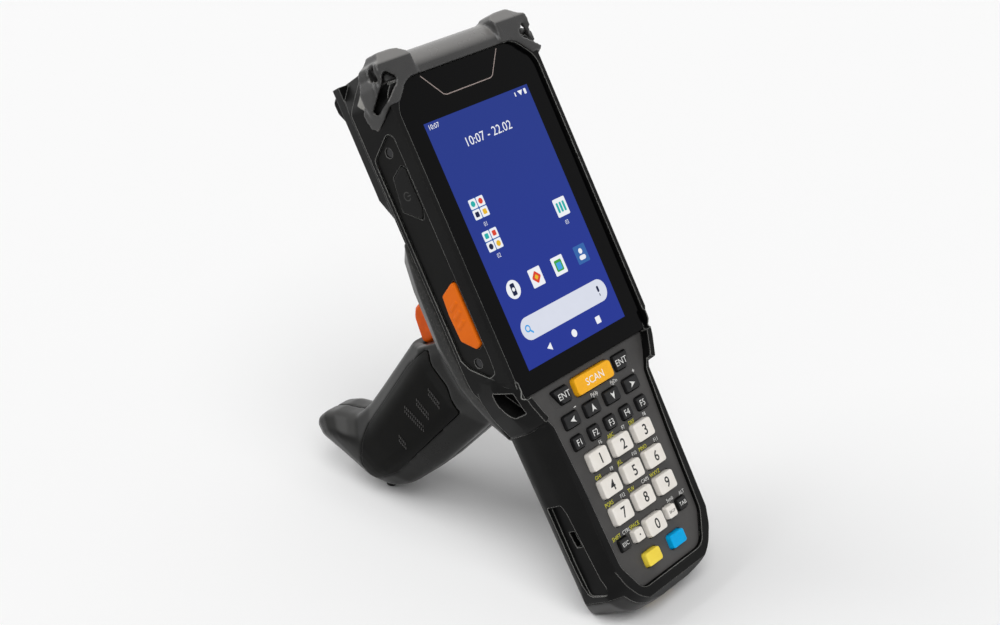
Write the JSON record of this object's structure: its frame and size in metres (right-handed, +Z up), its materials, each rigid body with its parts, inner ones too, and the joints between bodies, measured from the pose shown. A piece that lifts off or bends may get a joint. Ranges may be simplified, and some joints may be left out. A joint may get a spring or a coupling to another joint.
{
  "type": "portable barcode data terminal",
  "caption": "Pistol-grip handheld terminal with a touch screen, a raised keypad, side scan keys, a scan window at the top end and a sprung trigger.",
  "frame": {"origin": "centre of the bounding box's bottom, on the surface the terminal stands on", "axes": "+Z up; +X across the device, to the right of a person reading the screen; the display leans back and faces -Y and up; the grip reaches down towards +Y"},
  "size_m": [0.0838, 0.1776, 0.1984],
  "materials": {
    "body_black": "fine moulded grain, low sheen",
    "bumper_grey": "soft-touch, satin",
    "plate_grey": "coarse speckled moulding grain",
    "grip_black": "satin",
    "pad_rubber": "matt, with rows of small ribs",
    "panel_charcoal": "fine texture",
    "cover_glass": "polished, black printed border",
    "screen": "lit display",
    "circuit_green": "solder mask with black chips",
    "silicone_grey": "matt translucent silicone",
    "window_dark": "polished, dark red tint",
    "light_pipe": "frosted, translucent",
    "engine_metal": "anodised, satin",
    "screw_steel": "blackened",
    "steel": "bright",
    "contact_gold": "gold-plated",
    "battery_black": "satin",
    "foot_black": "matt",
    "trigger_orange": "satin",
    "side_orange": "satin",
    "key_white": "fine satin, dark printed legend",
    "key_dark": "fine satin, white printed legend",
    "key_amber": "fine satin, pale printed legend",
    "key_yellow": "fine satin",
    "key_blue": "fine satin"
  },
  "bodies": {
    "terminal": {"front_housing": "body_black", "rear_housing": "body_black", "cover_glass": "cover_glass", "display_module": "screen", "main_board": "circuit_green", "keypad_panel": "panel_charcoal", "keypad_mat": "silicone_grey", "top_bumper": "bumper_grey", "scan_window": "window_dark", "scan_engine": "engine_metal", "light_pipes": "light_pipe", "side_panels": "body_black", "housing_screws": "screw_steel", "end_bumper": "bumper_grey", "dock_contacts": "contact_gold", "grip_mount_plate": "plate_grey", "grip_shell_left": "grip_black", "grip_shell_right": "grip_black", "grip_pads": "pad_rubber", "grip_screws": "screw_steel", "grip_foot": "foot_black", "trigger_pin": "steel", "trigger_spring": "steel", "trigger_switch": "battery_black"},
    "battery_pack": {"battery_pack": "battery_black"},
    "battery_latch": {"battery_latch": "body_black"},
    "trigger": {"trigger": "trigger_orange"},
    "power_key": {"power_key": "body_black"},
    "scan_key_left": {"scan_key_left": "side_orange"},
    "scan_key_right": {"scan_key_right": "side_orange"},
    "key_0": {"key_0": "key_white"},
    "key_1": {"key_1": "key_white"},
    "key_2": {"key_2": "key_white"},
    "key_3": {"key_3": "key_white"},
    "key_4": {"key_4": "key_white"},
    "key_5": {"key_5": "key_white"},
    "key_6": {"key_6": "key_white"},
    "key_7": {"key_7": "key_white"},
    "key_8": {"key_8": "key_white"},
    "key_9": {"key_9": "key_white"},
    "key_point": {"key_point": "key_white"},
    "key_backspace": {"key_backspace": "key_white"},
    "key_escape": {"key_escape": "key_dark"},
    "key_tab": {"key_tab": "key_dark"},
    "key_f1": {"key_f1": "key_dark"},
    "key_f2": {"key_f2": "key_dark"},
    "key_f3": {"key_f3": "key_dark"},
    "key_f4": {"key_f4": "key_dark"},
    "key_f5": {"key_f5": "key_dark"},
    "key_left": {"key_left": "key_dark"},
    "key_up": {"key_up": "key_dark"},
    "key_down": {"key_down": "key_dark"},
    "key_right": {"key_right": "key_dark"},
    "key_enter_left": {"key_enter_left": "key_dark"},
    "key_enter_right": {"key_enter_right": "key_dark"},
    "key_scan": {"key_scan": "key_amber"},
    "key_yellow": {"key_yellow": "key_yellow"},
    "key_blue": {"key_blue": "key_blue"}
  },
  "joints": [
    {"name": "power_key_press", "type": "slide", "parent": "terminal", "child": "power_key", "axis": [1, 0, 0], "range_m": [0, 0.0006], "stiffness_N_per_m": 1800},
    {"name": "scan_key_left_press", "type": "slide", "parent": "terminal", "child": "scan_key_left", "axis": [1, 0, 0], "range_m": [0, 0.0006], "stiffness_N_per_m": 1800},
    {"name": "scan_key_right_press", "type": "slide", "parent": "terminal", "child": "scan_key_right", "axis": [-1, 0, 0], "range_m": [0, 0.0006], "stiffness_N_per_m": 1800},
    {"name": "trigger_pull", "type": "hinge", "parent": "terminal", "child": "trigger", "pos_m": [0, 0.00619, 0.10029], "axis": [-1, 0, 0], "range_deg": [0, 8], "stiffness_Nm_per_rad": 0.4},
    {"name": "battery_lift_out", "type": "slide", "parent": "terminal", "child": "battery_pack", "axis": [0, 0.878, -0.4787], "range_m": [0, 0.02]},
    {"name": "battery_latch_slide", "type": "slide", "parent": "battery_pack", "child": "battery_latch", "axis": [0, -0.4787, -0.878], "range_m": [0, 0.0024], "stiffness_N_per_m": 400},
    {"name": "key_0_press", "type": "slide", "parent": "terminal", "child": "key_0", "axis": [0, 0.878, -0.4787], "range_m": [0, 0.0008], "stiffness_N_per_m": 1500},
    {"name": "key_1_press", "type": "slide", "parent": "terminal", "child": "key_1", "axis": [0, 0.878, -0.4787], "range_m": [0, 0.0008], "stiffness_N_per_m": 1500},
    {"name": "key_2_press", "type": "slide", "parent": "terminal", "child": "key_2", "axis": [0, 0.878, -0.4787], "range_m": [0, 0.0008], "stiffness_N_per_m": 1500},
    {"name": "key_3_press", "type": "slide", "parent": "terminal", "child": "key_3", "axis": [0, 0.878, -0.4787], "range_m": [0, 0.0008], "stiffness_N_per_m": 1500},
    {"name": "key_4_press", "type": "slide", "parent": "terminal", "child": "key_4", "axis": [0, 0.878, -0.4787], "range_m": [0, 0.0008], "stiffness_N_per_m": 1500},
    {"name": "key_5_press", "type": "slide", "parent": "terminal", "child": "key_5", "axis": [0, 0.878, -0.4787], "range_m": [0, 0.0008], "stiffness_N_per_m": 1500},
    {"name": "key_6_press", "type": "slide", "parent": "terminal", "child": "key_6", "axis": [0, 0.878, -0.4787], "range_m": [0, 0.0008], "stiffness_N_per_m": 1500},
    {"name": "key_7_press", "type": "slide", "parent": "terminal", "child": "key_7", "axis": [0, 0.878, -0.4787], "range_m": [0, 0.0008], "stiffness_N_per_m": 1500},
    {"name": "key_8_press", "type": "slide", "parent": "terminal", "child": "key_8", "axis": [0, 0.878, -0.4787], "range_m": [0, 0.0008], "stiffness_N_per_m": 1500},
    {"name": "key_9_press", "type": "slide", "parent": "terminal", "child": "key_9", "axis": [0, 0.878, -0.4787], "range_m": [0, 0.0008], "stiffness_N_per_m": 1500},
    {"name": "key_point_press", "type": "slide", "parent": "terminal", "child": "key_point", "axis": [0, 0.878, -0.4787], "range_m": [0, 0.0008], "stiffness_N_per_m": 1500},
    {"name": "key_backspace_press", "type": "slide", "parent": "terminal", "child": "key_backspace", "axis": [0, 0.878, -0.4787], "range_m": [0, 0.0008], "stiffness_N_per_m": 1500},
    {"name": "key_escape_press", "type": "slide", "parent": "terminal", "child": "key_escape", "axis": [0, 0.878, -0.4787], "range_m": [0, 0.0008], "stiffness_N_per_m": 1500},
    {"name": "key_tab_press", "type": "slide", "parent": "terminal", "child": "key_tab", "axis": [0, 0.878, -0.4787], "range_m": [0, 0.0008], "stiffness_N_per_m": 1500},
    {"name": "key_f1_press", "type": "slide", "parent": "terminal", "child": "key_f1", "axis": [0, 0.878, -0.4787], "range_m": [0, 0.0008], "stiffness_N_per_m": 1500},
    {"name": "key_f2_press", "type": "slide", "parent": "terminal", "child": "key_f2", "axis": [0, 0.878, -0.4787], "range_m": [0, 0.0008], "stiffness_N_per_m": 1500},
    {"name": "key_f3_press", "type": "slide", "parent": "terminal", "child": "key_f3", "axis": [0, 0.878, -0.4787], "range_m": [0, 0.0008], "stiffness_N_per_m": 1500},
    {"name": "key_f4_press", "type": "slide", "parent": "terminal", "child": "key_f4", "axis": [0, 0.878, -0.4787], "range_m": [0, 0.0008], "stiffness_N_per_m": 1500},
    {"name": "key_f5_press", "type": "slide", "parent": "terminal", "child": "key_f5", "axis": [0, 0.878, -0.4787], "range_m": [0, 0.0008], "stiffness_N_per_m": 1500},
    {"name": "key_left_press", "type": "slide", "parent": "terminal", "child": "key_left", "axis": [0, 0.878, -0.4787], "range_m": [0, 0.0008], "stiffness_N_per_m": 1500},
    {"name": "key_up_press", "type": "slide", "parent": "terminal", "child": "key_up", "axis": [0, 0.878, -0.4787], "range_m": [0, 0.0008], "stiffness_N_per_m": 1500},
    {"name": "key_down_press", "type": "slide", "parent": "terminal", "child": "key_down", "axis": [0, 0.878, -0.4787], "range_m": [0, 0.0008], "stiffness_N_per_m": 1500},
    {"name": "key_right_press", "type": "slide", "parent": "terminal", "child": "key_right", "axis": [0, 0.878, -0.4787], "range_m": [0, 0.0008], "stiffness_N_per_m": 1500},
    {"name": "key_enter_left_press", "type": "slide", "parent": "terminal", "child": "key_enter_left", "axis": [0, 0.878, -0.4787], "range_m": [0, 0.0008], "stiffness_N_per_m": 1500},
    {"name": "key_enter_right_press", "type": "slide", "parent": "terminal", "child": "key_enter_right", "axis": [0, 0.878, -0.4787], "range_m": [0, 0.0008], "stiffness_N_per_m": 1500},
    {"name": "key_scan_press", "type": "slide", "parent": "terminal", "child": "key_scan", "axis": [0, 0.878, -0.4787], "range_m": [0, 0.0008], "stiffness_N_per_m": 1500},
    {"name": "key_yellow_press", "type": "slide", "parent": "terminal", "child": "key_yellow", "axis": [0, 0.878, -0.4787], "range_m": [0, 0.0008], "stiffness_N_per_m": 1500},
    {"name": "key_blue_press", "type": "slide", "parent": "terminal", "child": "key_blue", "axis": [0, 0.878, -0.4787], "range_m": [0, 0.0008], "stiffness_N_per_m": 1500}
  ]
}
